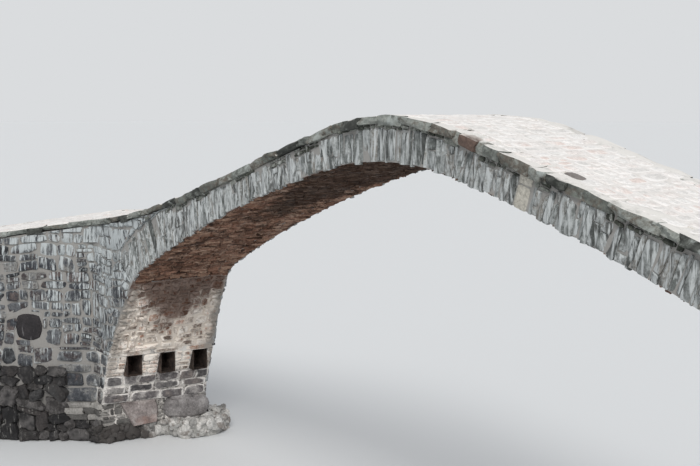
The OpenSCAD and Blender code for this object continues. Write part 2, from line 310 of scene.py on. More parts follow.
def side_line(x, z):
    """Lengths along a line of the side view from the crown, and the function of its points."""
    run = np.concatenate([[0], np.cumsum(np.hypot(np.diff(x), np.diff(z)))])
    slope = np.gradient(z, x)
    nx, nz = -slope / np.hypot(1, slope), 1 / np.hypot(1, slope)

    def point(s, lift):
        """The point at length s along the line, on either side, lifted square off it."""
        a = np.abs(s)
        return (np.sign(s) * (np.interp(a, run, x) + lift * np.interp(a, run, nx)),
                np.interp(a, run, z) + lift * np.interp(a, run, nz))
    return run, point


arch_s, arch_point = side_line(arch_x, arch_z)
arch_end = arch_s[-1]


def ring_top(s):
    """How far the ring face reaches above the soffit, up to the coping's bed."""
    lift = 0.6
    for _ in range(8):
        x, z = arch_point(s, lift)
        lift = lift + float(np.interp(abs(x), deck_x, deck_z)) - COPING_T - float(z)
    return lift


def take_shape():
    """The points and faces of the primitive that is active, which is then deleted."""
    shape = bpy.context.active_object
    points = np.array([v.co[:] for v in shape.data.vertices])
    outline = [list(f.vertices) for f in shape.data.polygons]
    bpy.data.objects.remove(shape)
    return points, outline


def edit_faces(shape, axis, sign):
    """Opens a shape for editing, with only the faces selected that look along an axis."""
    bpy.ops.object.mode_set(mode="EDIT")
    bpy.ops.mesh.select_mode(type="FACE")
    bpy.ops.mesh.select_all(action="DESELECT")
    bpy.ops.object.mode_set(mode="OBJECT")
    for f in shape.data.polygons:
        f.select = f.normal[axis] * sign > 0.9
    bpy.ops.object.mode_set(mode="EDIT")


def stone_blank(sides, rings):
    """A stone that shows one face: a sunk back, a rim and some rings up to the middle."""
    bpy.ops.mesh.primitive_cylinder_add(vertices=sides, depth=1, location=(0, 0, 0))
    edit_faces(bpy.context.active_object, 2, 1)
    for ring in range(rings):
        bpy.ops.mesh.inset(thickness=(0.12 if ring == 0 else 0.8 / rings))
    bpy.ops.mesh.poke()
    bpy.ops.object.mode_set(mode="OBJECT")
    return *take_shape(), sides


small_stone = stone_blank(12, 1)
big_stone = stone_blank(24, 4)


def edit_all(piece):
    """Opens one piece for editing, with all of it selected."""
    bpy.ops.object.select_all(action="DESELECT")
    piece.select_set(True)
    bpy.context.view_layer.objects.active = piece
    bpy.ops.object.mode_set(mode="EDIT")
    bpy.ops.mesh.select_all(action="SELECT")


def join_stones(name, finish, stones, outline, rim, rng):
    """Joins stones, an array of stone by corner by axis, into one piece with a tint for each."""
    count, corners = stones.shape[:2]
    mesh = bpy.data.meshes.new(name)
    mesh.from_pydata(stones.reshape(-1, 3).tolist(), [], [
        [i * corners + j for j in face] for i in range(count) for face in outline])
    for title, values in (("tint", np.repeat(rng.uniform(0, 1, count), corners)),
                          ("rim", np.tile(rim, count))):
        mesh.attributes.new(title, "FLOAT", "POINT").data.foreach_set(
            "value", values.astype(np.float32))
    piece = add_object(name, mesh)
    piece.data.materials.append(finish)
    edit_all(piece)
    bpy.ops.mesh.normals_make_consistent()
    bpy.ops.object.mode_set(mode="OBJECT")
    bpy.ops.object.shade_smooth_by_angle(angle=math.radians(38))
    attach(piece, "root")
    return piece


# A little over a full turn, for the phase of a random wave
PHASE = 6.3


def lay(name, slot, finish, cells, place, rng, trim=None, blank=small_stone, joint=0.02,
        proud=0.025, worn=0.5, sink=0.04, square=(3.5, 7), ragged=0.05, rough=0.004, tilt=0.006,
        smallest=0.05, domed=8, lumps=0.0, warp=0.0, turned=0.0, skew=0.0):
    """Lays a stone in each cell [u0, v0, u1, v1] of a face and joins them into one piece.
    place(u, v, out) gives the points of the face, and trim(u, v) keeps a corner inside it.
    A stone stands proud of the face by joint-wide gaps, worn is what its rim keeps of that and
    sink how deep its back lies. square, ragged, rough and lumps shape it, from its outline to its
    surface; tilt, turned, skew and warp say how unevenly it lies, and the smallest are left out."""
    shape, outline, sides = blank
    cells = np.array(cells)
    u = cells[:, [0, 2, 2, 0]]
    v = cells[:, [1, 1, 3, 3]]
    wave = rng.uniform(0, PHASE, 6)
    u, v = (u + warp * (np.sin(1.9 * v + wave[0]) + 0.7 * np.sin(4.3 * v + 2.1 * u + wave[1])),
            v + warp * (np.sin(1.7 * u + wave[2]) + 0.8 * np.sin(3.9 * u + 1.3 * v + wave[3])))
    slip = 0.35 * joint + skew * np.minimum(cells[:, 2] - cells[:, 0], cells[:, 3] - cells[:, 1])
    u = u + rng.uniform(-1, 1, u.shape) * slip[:, None]
    v = v + rng.uniform(-1, 1, v.shape) * slip[:, None]
    if trim:
        u, v = trim(u, v)
    wide = (u[:, 1] + u[:, 2] - u[:, 0] - u[:, 3]) / 2
    high = (v[:, 2] + v[:, 3] - v[:, 0] - v[:, 1]) / 2
    keep = (wide > smallest) & (high > smallest * 0.7)
    u, v, wide, high = u[keep], v[keep], wide[keep], high[keep]
    count = len(u)
    du, dv = u - u.mean(1, keepdims=True), v - v.mean(1, keepdims=True)
    angle = rng.normal(0, turned + 1e-9, (count, 1)) * np.minimum(wide / high, high / wide)[:, None]
    fit_u = (1 - np.minimum(joint / wide, 0.5))[:, None]
    fit_v = (1 - np.minimum(joint / high, 0.5))[:, None]
    u = u.mean(1, keepdims=True) + fit_u * (du * np.cos(angle) - dv * np.sin(angle))
    v = v.mean(1, keepdims=True) + fit_v * (dv * np.cos(angle) + du * np.sin(angle))
    turn = np.arctan2(shape[:, 1], shape[:, 0])
    radius = np.hypot(shape[:, 0], shape[:, 1])
    corner = np.round(turn / (2 * np.pi / sides)).astype(int) % sides
    turn = turn + np.pi / sides
    power = 2 / rng.uniform(*square, (count, 1))
    a = np.sign(np.cos(turn)) * np.abs(np.cos(turn)) ** power * radius
    b = np.sign(np.sin(turn)) * np.abs(np.sin(turn)) ** power * radius
    chips = rng.uniform(0, 2 * ragged, (count, sides))
    if sides > 12:
        chips = (chips + np.roll(chips, 1, 1) + np.roll(chips, -1, 1)) / 2
    a, b = a * (1 - chips[:, corner]), b * (1 - chips[:, corner])
    weights = np.stack([(1 - a) * (1 - b), (1 + a) * (1 - b), (1 + a) * (1 + b), (1 - a) * (1 + b)])
    flat_u = (weights / 4 * u.T[:, :, None]).sum(0)
    flat_v = (weights / 4 * v.T[:, :, None]).sum(0)
    height = proud * rng.uniform(0.5, 1.5, (count, 1))
    lean_u, lean_v = rng.normal(0, tilt, (2, count, 1))
    phase = rng.uniform(0, PHASE, (4, count, 1))
    lump = (np.sin(flat_u * 9 + phase[0]) * np.sin(flat_v * 11 + phase[1])
            + 0.6 * np.sin(flat_u * 23 + flat_v * 9 + phase[2])
            * np.sin(flat_v * 21 - flat_u * 8 + phase[3])) * lumps
    out = height * (worn + (1 - worn) * (1 - radius ** domed))
    out = out + lean_u * a + lean_v * b + rng.normal(0, rough, a.shape) + lump
    out = np.where(shape[:, 2] > 0, out, -sink)
    stones = np.stack(place(flat_u, flat_v, out), -1)
    return join_stones(name, finish, stones, outline, radius, rng)


def row(v0, v1, u0, u1, shortest, longest, rng):
    """One course from u0 to u1, in stones of random length."""
    cuts = [u0]
    while cuts[-1] < u1 - longest:
        cuts.append(cuts[-1] + rng.uniform(shortest, longest))
    if u1 - cuts[-1] < shortest and len(cuts) > 1:
        cuts.pop()
    cuts.append(u1)
    return [[a, v0, b, v1] for a, b in zip(cuts, cuts[1:])]


def rubble(panel, stone_w, stone_h, rng):
    """Cuts a panel of wall into rubble, across its longer way, until each stone is small enough."""
    u0, v0, u1, v1 = panel
    wide = (u1 - u0) / (stone_w * rng.uniform(0.65, 1.5))
    high = (v1 - v0) / (stone_h * rng.uniform(0.65, 1.5))
    if max(wide, high) < 1:
        return [panel]
    at = rng.uniform(0.34, 0.66)
    if wide > high:
        cut = u0 + (u1 - u0) * at
        halves = [u0, v0, cut, v1], [cut, v0, u1, v1]
    else:
        cut = v0 + (v1 - v0) * at
        halves = [u0, v0, u1, cut], [u0, cut, u1, v1]
    return rubble(halves[0], stone_w, stone_h, rng) + rubble(halves[1], stone_w, stone_h, rng)


def within(u0, u1, v0, v1):
    """A trim that keeps a stone's corners inside a rectangle of the face."""
    return lambda u, v: (np.clip(u, u0, u1), np.clip(v, v0, v1))


def clear_of(cells, hole):
    """The cells cut back to leave room for one larger stone."""
    kept = []
    for u0, v0, u1, v1 in cells:
        parts = [[u0, v0, min(u1, hole[0]), v1], [max(u0, hole[2]), v0, u1, v1],
                 [u0, v0, u1, min(v1, hole[1])], [u0, max(v0, hole[3]), u1, v1]]
        kept.append(max(parts, key=lambda p: max(p[2] - p[0], 0) * max(p[3] - p[1], 0)))
    return kept


SLAB_LONG = 0.95
SLAB_THIN, SLAB_THICK = 0.05, 0.2
GROUP_SHORT, GROUP_LONG = 0.25, 0.6
PALE_SLAB = [3.0, -0.03, 3.28, 0.56]
PALE_JOINT = 0.36
# Split fieldstone: grey slabs under pale and dark runs that follow the split, so the ring looks ribbed
ring_slab = stone_finish(
    "split_ring_slabs", ["#4b4e4c", "#646866", "#8d9190", "#a7abaa", "#7d7972", "#b5b9b8", "#707472"],
    mottle=0.18, coats=[("runs", 0.87, "#c1c5c5"), ("runs", 0.65, "#4c4d4b"), ("lichen", 0.15, "#34362f")])
# Split sandstone: one warm, pale slab that hardly any dirt has run over
pale_slab = stone_finish(
    "pale_sandstone_slab", ["#a19d92", "#b9b5aa", "#c7c3b8"], mottle=0.3,
    coats=[("runs", 0.35, "#8b8880"), ("lichen", 0.15, "#5d5c54")])
# Broken fieldstone under lichen: dark bits that make a rough line below the coping
packing_stone = stone_finish(
    "lichened_packing", ["#30332d", "#4c4f47", "#6b6e67", "#8e918b"], mottle=0.15,
    coats=[("runs", 0.5, "#a9aca8"), ("lichen", 0.3, "#2a2d26")])
for face, face_y, out_y in (("near", near_y, -1), ("far", far_y, 1)):
    rng = default_rng(11 + out_y)
    slabs, packing = [], []
    for first, _, last, _ in row(0, 1, -arch_end, arch_end, GROUP_SHORT, GROUP_LONG, rng):
        room = ring_top((first + last) / 2)
        lift = min(room - rng.uniform(0.02, 0.16), SLAB_LONG + rng.uniform(-0.1, 0.05))
        if 0.07 < room - lift < 0.3:
            packing += rubble([first, lift, last, room], 0.26, 0.12, rng)
        for s0, _, s1, _ in row(0, 1, first, last, SLAB_THIN, SLAB_THICK, rng):
            top = lift + rng.uniform(-0.03, 0.03)
            foot = rng.uniform(-0.05, 0.015)
            cut = foot + (top - foot) * rng.uniform(0.25, 0.75)
            if rng.uniform() < 0.3:
                slabs += [[s0, foot, s1, cut], [s0, cut, s1, top]]
            else:
                slabs.append([s0, foot, s1, top])

    def ring_face(u, v, out):
        """u runs along the soffit from the crown and v is square off it."""
        x, z = arch_point(u, v)
        return x, face_y + out_y * out, z

    if face == "near":
        slabs, packing = clear_of(slabs, PALE_SLAB), clear_of(packing, PALE_SLAB)
        s0, foot, s1, top = PALE_SLAB
        lay("near_ring_pale_slab", "ring_stone", pale_slab,
            [[s0, foot, s1, PALE_JOINT], [s0, PALE_JOINT, s1, top]], ring_face, rng, joint=0.012,
            square=(7, 11), ragged=0.02, blank=big_stone, lumps=0.004)
    lay(face + "_ring_slabs", "ring_stone", ring_slab, slabs, ring_face, rng, joint=0.01,
        square=(7, 11), ragged=0.02, rough=0.006, smallest=0.025, tilt=0.014, turned=0.02)
    lay(face + "_ring_packing", "ring_stone", packing_stone, packing, ring_face, rng, joint=0.015,
        ragged=0.08, rough=0.008, smallest=0.03, proud=0.035, skew=0.06)


# Soffit: the barrel between the ring faces is thin stones laid across the bridge on a form,
# so they show as long narrow courses, brown with soot and damp, with bits of pale mortar left.
RING_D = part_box("near_ring_crown")[1][1] - near_y
rng = default_rng(21)
courses = []
for s0, _, s1, _ in row(0, 1, -arch_end, arch_end, 0.12, 0.34, rng):
    for y0, _, y1, _ in row(0, 1, near_y + 0.03, far_y - 0.03, 0.25, 0.9, rng):
        courses += rubble([s0, y0, s1, y1], 0.11, 0.5, rng)
# Split fieldstone, sooted: matt red-brown with bits of pale mortar, nearly black at the crown
# The near-black at the crown is soot and painted shade under the arch
soffit_stone = stone_finish(
    "sooty_soffit_stone_with_painted_shade", ["#442f23", "#6b4d3d", "#896450", "#ad8e79", "#593f31", "#96705c"],
    mottle=0.3, coats=[("smear", 0.5, "#a88b79"), ("lime", 0.5, "#ab9281"), ("soot_and_shade", 6.15, "#2c1d12"),
                       ("lichen", 0.55, "#35271e")])


def under_arch(u, v, out):
    """u runs along the soffit from the crown, v is across the bridge and out points down."""
    inside = (v > near_y + RING_D) & (v < far_y - RING_D)
    x, z = arch_point(u, np.where(inside, 0.012, 0.002) - out * 0.8)
    return x, v, z


lay("soffit_stones", "soffit_stone", soffit_stone, courses, under_arch, rng,
    trim=within(-np.inf, np.inf, near_y + 0.025, far_y - 0.025), joint=0.012, proud=0.036, rough=0.009,
    tilt=0.014, smallest=0.03, sink=0.06, turned=0.06, warp=0.012, skew=0.1, ragged=0.07)


# Leaning faces: under the springing each abutment leans in under the arch and twists as it rises.
# Dressed grey blocks with white joints carry three putlog holes; above them is pink rubble.
LEAN_FOOT = 0.46
wall_z = np.linspace(LEAN_FOOT, skewback.z - 0.01, 160)
wall_near, wall_far = np.array([[touch((0, y, z), (1, 0, 0)).x for z in wall_z]
                                for y in (near_y + 0.004, far_y - 0.004)])
wall_nx = -1 / np.hypot(1, np.gradient(wall_near, wall_z))
wall_nz = -wall_nx * np.gradient(wall_near, wall_z)
BLOCK_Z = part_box("right_block_courses")[0][2]
PUTLOG_W, PUTLOG_H, PUTLOG_DEEP, PUTLOG_PITCH, PUTLOG_SHIFT = 0.43, 0.57, 0.45, 0.88, 0.18
PUTLOG_Z = BLOCK_Z + 0.79
HOLE_TOP = PUTLOG_Z + PUTLOG_H
LINTEL_TOP = HOLE_TOP + 0.15
COURSE_1_TOP, COURSE_2_TOP = BLOCK_Z + 0.28, BLOCK_Z + 0.5
putlog_y = [middle_y + PUTLOG_SHIFT + i * PUTLOG_PITCH for i in (-1, 0, 1)]

# Hammer-dressed fieldstone: even grey faces, their edges white with pointing
block_stone = stone_finish(
    "dressed_grey_blocks", ["#4a4849", "#747170", "#96928f", "#aba6a3", "#605c5d", "#837b77"],
    coats=[("smear", 0.65, "#ebe7e2"), ("lichen", 0.3, "#413d3c")])
# Squared rubble under lime wash: cream with pink stones showing through, greyed by rain at both
# edges, and brown where soot hangs down from the arch
inner_rubble_stone = stone_finish(
    "pink_rubble", ["#7d6e63", "#c4b7ab", "#e6dcd2", "#aca197", "#ab8a77", "#f0e8df", "#cfa590"],
    coats=[("lime", 0.8, "#f3ece3"), ("smear", 0.85, "#f2eae0"), ("runs", 0.3, "#6d5d52"),
           ("lichen", 0.35, "#5d4c42"), ("rain", 1.15, "#a39c94"), ("soot_and_shade", 3.05, "#58341f")])
# Rough stone ends painted nearly black as the shade in the holes, so that they look deep
hole_shade_stone = stone_finish(
    "painted_hole_shade_rubble", ["#1f1814", "#372c26", "#5c4d44"], laid=False, mottle=0.2)


def inner_wall(u, v, out):
    """The right-hand leaning face, u across the bridge and v up; the left one is its mirror image."""
    across = (u - near_y) / (far_y - near_y)
    x = (1 - across) * np.interp(v, wall_z, wall_near) + across * np.interp(v, wall_z, wall_far)
    return x + out * np.interp(v, wall_z, wall_nx), u, v + out * np.interp(v, wall_z, wall_nz)


def mirrored(place, side):
    """The same placing on the left-hand half when side is -1."""
    def other(u, v, out):
        x, y, z = place(u, v, out)
        return side * x, y, z
    return other


across_face = within(near_y - 0.012, far_y + 0.012, 0, skewback.z - 0.01)
SIDES = ((-1, "left"), (1, "right"))
for side, name in SIDES:
    rng = default_rng(31 + side)
    place = mirrored(inner_wall, side)
    blocks = row(BLOCK_Z, COURSE_1_TOP, near_y, far_y, 0.6, 1.1, rng)
    blocks += row(COURSE_1_TOP, COURSE_2_TOP, near_y, far_y, 0.35, 0.8, rng)
    blocks += row(COURSE_2_TOP, PUTLOG_Z, near_y, far_y, 0.35, 0.75, rng)
    lay(name + "_lower_blocks", "dressed_blocks", block_stone, blocks, place, rng, trim=across_face,
        joint=0.026, proud=0.035, square=(4, 8), blank=big_stone, lumps=0.008,
        turned=0.02, domed=6, skew=0.06, rough=0.006)

    stones = []
    jambs = [near_y] + [y + d for y in putlog_y for d in (-PUTLOG_W / 2, PUTLOG_W / 2)] + [far_y]
    for y0, y1 in zip(jambs[::2], jambs[1::2]):
        stones += rubble([y0, PUTLOG_Z, y1, HOLE_TOP], 0.42, 0.17, rng)
    lintels = [near_y] + [y + PUTLOG_PITCH / 2 for y in putlog_y[:2]] + [far_y]
    stones += [[y0, HOLE_TOP, y1, LINTEL_TOP] for y0, y1 in zip(lintels, lintels[1:])]
    lay(name + "_putlog_course", "rubble_stone", inner_rubble_stone, stones, place, rng,
        trim=across_face, joint=0.018, blank=big_stone, lumps=0.006, rough=0.005)

    stones = []
    level = LINTEL_TOP
    while level < skewback.z - 0.05:
        top = level + rng.uniform(0.16, 0.42)
        if top > skewback.z - 0.15:
            top = skewback.z
        for y0, _, y1, _ in row(0, 1, near_y, far_y, 0.5, 1.2, rng):
            stones += rubble([y0, level, y1, top], rng.uniform(0.3, 0.6), rng.uniform(0.16, 0.34), rng)
        level = top
    lay(name + "_inner_rubble", "rubble_stone", inner_rubble_stone, stones, place, rng,
        trim=across_face, proud=0.055, ragged=0.09, warp=0.04, turned=0.08, skew=0.12,
        blank=big_stone, lumps=0.014, rough=0.01, domed=5, tilt=0.02)

    # Each hole is lined with the rough inner ends of the stones round it, painted black as shade
    for n, y in enumerate(putlog_y):
        mouth = min(float(inner_wall(y + d, z, 0)[0]) for d in (-0.2, 0.2) for z in (PUTLOG_Z, HOLE_TOP))
        back = float(inner_wall(y, PUTLOG_Z, 0)[0]) + PUTLOG_DEEP
        reach = back - mouth - 0.07
        bpy.ops.mesh.primitive_cube_add(size=1, location=(
            side * (back - reach / 2), y, PUTLOG_Z + PUTLOG_H / 2))
        lining = bpy.context.active_object
        lining.scale = (reach, PUTLOG_W, PUTLOG_H)
        bpy.ops.object.transform_apply()
        edit_faces(lining, 0, -side)
        bpy.ops.mesh.inset(thickness=0.02)
        bpy.ops.mesh.extrude_region_move(TRANSFORM_OT_translate={"value": (side * (reach - 0.03), 0, 0)})
        bpy.ops.mesh.select_all(action="SELECT")
        bpy.ops.mesh.subdivide(number_cuts=3, fractal=0.4, seed=n)
        bpy.ops.mesh.normals_make_consistent()
        bpy.ops.object.mode_set(mode="OBJECT")
        lining.name = f"{name}_putlog_shade_lining_{n + 1}"
        lining.data.materials.append(hole_shade_stone)
        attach(lining, "root")


# Side walls: one mass of coursed rubble on each side of each end, from the ring's end, round the
# bend and along the approach. Big blocks tie in its leaning corner, over a ledge of grey slabs
# and dark river rocks; the courses are purple-brown and grey fieldstone under white lime runs.
BEND_X = 12.0
BEND_A = math.radians(50)
DECK_W = far_y - near_y
MITRE_RUN = DECK_W * math.tan(BEND_A / 2)
APPROACH_L = 5.0
APPROACH_SLOPE = math.tan(math.radians(8.3))
FOOTING_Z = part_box("right_footing")[1][2]
LEDGE_BEDS = (0.6, 0.76, 0.93, BLOCK_Z)
QUOIN_Z, QUOIN_END = 2.6, 13.05
ROCK_TOP, NEAR_ROCK_TOP = 1.35, 2.05
ROCK_W, ROCK_H = 0.62, 0.5
ROUND_STONE = [BEND_X + 1.40, 2.75, BEND_X + 2.12, 3.48]
WALL_START, WALL_TOP = 6.4, 7.2
bend_z = deck_z[-1]
# Fieldstone in courses: purple-brown to grey, each stone another shade, under the deck's lime runs
fieldstone = stone_finish(
    "coursed_fieldstone",
    ["#232427", "#46484b", "#6a6d70", "#3c3335", "#8a8986", "#54565a", "#2f3339", "#665b58"],
    mottle=0.3, coats=[("smear", 0.5, "#b4b7b7"), ("wash", 0.75, "#bcc2c3"), ("runs", 0.5, "#3b3c3e"),
                       ("lichen", 0.3, "#30302d"), ("toward_foot", 0.6, "#292726")])
# River rock, worn and damp: the darkest stone of the bridge, with a few dried drips of lime
dark_rock = stone_finish(
    "dark_river_rock", ["#191819", "#2b2a2b", "#444343", "#322f2e", "#5f5c5b", "#232223", "#3c3837"],
    mottle=0.4, relief=0.02, coats=[("runs", 0.35, "#8d8b87"), ("lime", 0.2, "#807d79")])
# One boulder worn smooth by the river: a black round in the grey wall
black_boulder = stone_finish(
    "black_river_boulder", ["#1b191b", "#2b282a", "#3a3637"], laid=False, mottle=0.3, relief=0.02,
    coats=[("runs", 0.45, "#6f6d6e")])
# Split slabs: mid grey, between the dark rocks and the blocks
ledge_stone = stone_finish(
    "grey_ledge_slabs", ["#4a4846", "#6c6a67", "#8f8c88", "#a5a29d"],
    coats=[("smear", 0.3, "#b7b3ad"), ("lichen", 0.4, "#3b3936")])
WALL_LOOK = dict(joint=0.014, proud=0.045, ragged=0.09, square=(3.2, 7), rough=0.009, tilt=0.016,
                 warp=0.035, turned=0.08, skew=0.1, domed=5)
band_x, band_z = arch_point(np.linspace(arch_end, 0, 200), SLAB_LONG)
end_x, end_z = arch_point(arch_end, np.linspace(0, SLAB_LONG, 10))

bpy.ops.mesh.primitive_cube_add(size=2, location=(0, 0, 0))
bpy.ops.object.mode_set(mode="EDIT")
bpy.ops.mesh.select_all(action="SELECT")
bpy.ops.mesh.subdivide(number_cuts=5)
bpy.ops.object.mode_set(mode="OBJECT")
boulder_points, boulder_outline = take_shape()


def set_boulders(name, finish, boxes, place, rng, rounded=0.4, bulge=0.1, rough=0.02,
                 turned=0.0, trim=None):
    """Sets whole stones in boxes [u0, v0, out0, u1, v1, out1]: blocks more or less worn round.
    rounded runs from a block at 0 to a ball at 1; bulge and rough are its large and small lumps."""
    boxes = np.array(boxes)
    middle = (boxes[:, None, :3] + boxes[:, None, 3:]) / 2
    half = (boxes[:, None, 3:] - boxes[:, None, :3]) / 2
    ball = boulder_points / np.linalg.norm(boulder_points, axis=1, keepdims=True)
    shape = np.repeat((boulder_points * (1 - rounded) + 1.12 * ball * rounded)[None], len(boxes), 0)
    for waves, size in ((1.6, bulge), (3.7, bulge * 0.5)):
        phase = rng.uniform(0, PHASE, (2, len(boxes), 1, 3))
        shape = shape + size * np.sin(waves * shape[:, :, [1, 2, 0]] + phase[0]) * np.cos(
            waves * shape[:, :, [2, 0, 1]] + phase[1])
    shape = shape * (1 + rng.uniform(-rough, rough, shape.shape))
    shape = shape * half
    angle = rng.normal(0, turned + 1e-9, (len(boxes), 1))
    u = middle[:, :, 0] + shape[:, :, 0] * np.cos(angle) - shape[:, :, 1] * np.sin(angle)
    v = middle[:, :, 1] + shape[:, :, 1] * np.cos(angle) + shape[:, :, 0] * np.sin(angle)
    out = middle[:, :, 2] + shape[:, :, 2]
    if trim:
        u, v = trim(u, v)
    rim = np.abs(boulder_points[:, :2]).max(1) ** 2
    stones = np.stack(place(u, v, out), -1)
    return join_stones(name, finish, stones, boulder_outline, rim, rng)


def coursed(u0, u1, v0, v1, rng, stone_w=0.74, stone_h=0.48):
    """Coursed rubble: a day's lift of wall at a time, each in panels, each panel cut into stones."""
    levels = [v0]
    while levels[-1] < v1 - 0.9:
        levels.append(levels[-1] + rng.uniform(0.45, 0.9))
    levels.append(v1)
    cells = []
    for z0, z1 in zip(levels, levels[1:]):
        for a, _, b, _ in row(z0, z1, u0, u1, 0.6, 1.6, rng):
            scale = rng.uniform(0.55, 1.2)
            cells += rubble([a, z0, b, z1], stone_w * scale, stone_h * scale, rng)
    return cells


def deep(cells, back, front, rng):
    """Gives each cell a depth, so that a whole stone can be set in it."""
    return [[u0, v0, -back, u1, v1, front * rng.uniform(0.5, 1.4)] for u0, v0, u1, v1 in cells]


for side, name in SIDES:
    along = np.array([side * math.cos(BEND_A), -math.sin(BEND_A)])
    across = np.array([side * math.sin(BEND_A), math.cos(BEND_A)])
    for face, face_y, out_y, edge, bend in (("near", near_y, -1, wall_near, BEND_X),
                                            ("far", far_y, 1, wall_far, BEND_X + MITRE_RUN)):
        rng = default_rng(41 + side + 3 * out_y)
        end = bend + APPROACH_L + (MITRE_RUN if face == "far" else 0)
        border_x = np.concatenate([edge, end_x, band_x])
        border_z = np.concatenate([wall_z, end_z, band_z])

        def under_deck(u, v):
            """Keeps a stone's corners between the ring, the coping's bed and the approach's end."""
            for _ in range(2):
                u = np.clip(u, np.interp(v, border_z, border_x) - 0.015, end)
                fall = APPROACH_SLOPE * np.clip(u - bend - (bend > BEND_X) * MITRE_RUN, 0, 9)
                v = np.clip(v, 0.01, np.interp(u, deck_x, deck_z) - COPING_T - fall)
            return u, v

        def round_bend(u, v, out):
            """u runs along the wall's foot past the bend, v is up and out leaves the wall."""
            past = np.maximum(u - bend, 0)
            turned = np.clip((u - bend) / 0.06 + 0.5, 0, 1)
            out_x = out * turned * across[0] * out_y
            out_side = out * ((1 - turned) + turned * across[1]) * out_y
            return (side * np.minimum(u, bend) + along[0] * past + out_x,
                    face_y + along[1] * past + out_side, v)

        quoin_end = QUOIN_END if face == "near" else bend
        rock_top = NEAR_ROCK_TOP if face == "near" else ROCK_TOP
        stones = coursed(WALL_START, end, QUOIN_Z, WALL_TOP, rng)
        stones += coursed(quoin_end, end, rock_top, QUOIN_Z, rng)
        if face == "near":
            stones = clear_of(stones, ROUND_STONE)
            set_boulders(name + "_near_round_stone", black_boulder, deep(
                [ROUND_STONE], 0.2, 0.1, rng), round_bend, rng, rounded=0.75, bulge=0.04)
        quoins, level = [], BLOCK_Z
        while level < QUOIN_Z - 0.02:
            top = min(level + rng.uniform(0.26, 0.46), QUOIN_Z)
            quoins += row(level, top, edge.min() - 0.05, quoin_end, 0.45, 1.1, rng)
            level = top
        lay(f"{name}_{face}_wall_stones", "rubble_stone", fieldstone, stones, round_bend, rng,
            trim=under_deck, **WALL_LOOK)
        lay(f"{name}_{face}_quoins", "rubble_stone", fieldstone, quoins, round_bend, rng,
            trim=under_deck, blank=big_stone, joint=0.028, proud=0.05, square=(4, 7), ragged=0.06,
            lumps=0.008, skew=0.07, turned=0.03, domed=6)
        ledge = [s for z0, z1 in zip(LEDGE_BEDS, LEDGE_BEDS[1:])
                 for s in row(z0, z1, edge[0] - 0.02, BEND_X + 0.85, 0.3, 0.75, rng)]
        set_boulders(f"{name}_{face}_ledge", ledge_stone, deep(ledge, 0.2, 0.09, rng),
                     round_bend, rng, rounded=0.18)
        rocks = rubble([BEND_X + 0.75, 0.02, end, rock_top], ROCK_W, ROCK_H, rng)
        rocks += rubble([edge[0] - 0.1, 0.02, BEND_X + 0.8, FOOTING_Z + 0.16], 0.55, 0.42, rng)
        set_boulders(f"{name}_{face}_rocks", dark_rock, deep(rocks, 0.25, 0.16, rng),
                     round_bend, rng, bulge=0.22, rough=0.035, turned=0.28, trim=under_deck)

    rng = default_rng(68 + side)
    end_x0, end_y0 = np.array([side * BEND_X, near_y]) + APPROACH_L * along

    def end_wall(u, v, out):
        """u runs across the end of the approach from its near corner."""
        return end_x0 + across[0] * u + along[0] * out, end_y0 + across[1] * u + along[1] * out, v

    end_trim = within(0, DECK_W, 0.01, bend_z - APPROACH_SLOPE * APPROACH_L - COPING_T)
    lay(name + "_end_wall_stones", "rubble_stone", fieldstone, coursed(0, DECK_W, ROCK_TOP, bend_z, rng),
        end_wall, rng, trim=end_trim, **WALL_LOOK)
    set_boulders(name + "_end_rocks", dark_rock, deep(
        rubble([0, 0.02, DECK_W, ROCK_TOP], ROCK_W, ROCK_H, rng), 0.25, 0.14, rng), end_wall, rng,
        rounded=0.5, bulge=0.16, turned=0.2, trim=end_trim)


# Boulders: one course of big river boulders on each footing, chosen for their flat beds and
# set with mortar pushed in behind; a rust-stained one and a long grey one take most of the width.
RUST_BOULDER = [near_y + 0.42, FOOTING_Z - 0.04, -0.2, near_y + 1.46, BLOCK_Z + 0.01, 0.15]
GREY_BOULDER = [near_y + 1.66, FOOTING_Z, -0.25, far_y + 0.08, BLOCK_Z + 0.02, 0.22]
# River boulder with iron in it: mauve grey, turning rust orange toward its foot
iron_boulder = stone_finish(
    "iron_stained_boulder", ["#5c5452", "#938a87", "#bdb5b1"], laid=False, mottle=0.35, relief=0.03,
    coats=[("lime", 0.3, "#a9a39e"), ("lichen", 0.3, "#4a403c"), ("toward_foot", 0.0, "#a4603a")])
# River boulder: plain smooth grey with faint lichen
grey_boulder = stone_finish(
    "grey_river_boulder", ["#524f4e", "#8a8685", "#b8b4b2"], laid=False, mottle=0.35, relief=0.03,
    coats=[("lichen", 0.25, "#3e3a38")])


def broken_corner(u, v):
    """The rust-stained boulder is broken off on a slant at its lower near corner."""
    return np.maximum(u, near_y + 0.46 + 0.5 * (BLOCK_Z - v)), v


for side, name in SIDES:
    rng = default_rng(81 + side)
    place = mirrored(inner_wall, side)
    set_boulders(name + "_rust_boulder", iron_boulder,
                 [RUST_BOULDER], place, rng, rounded=0.3, bulge=0.08, rough=0.012, trim=broken_corner)
    set_boulders(name + "_grey_boulder", grey_boulder,
                 [GREY_BOULDER], place, rng, rounded=0.78, bulge=0.06, rough=0.012)
    packing = rubble([near_y, FOOTING_Z, near_y + 0.78, BLOCK_Z], 0.3, 0.2, rng)
    packing += rubble([near_y + 1.44, FOOTING_Z, near_y + 1.7, BLOCK_Z], 0.2, 0.16, rng)
    lay(name + "_boulder_packing", "dressed_blocks", ledge_stone, packing, place, rng,
        proud=0.05, ragged=0.08, domed=4, skew=0.1)
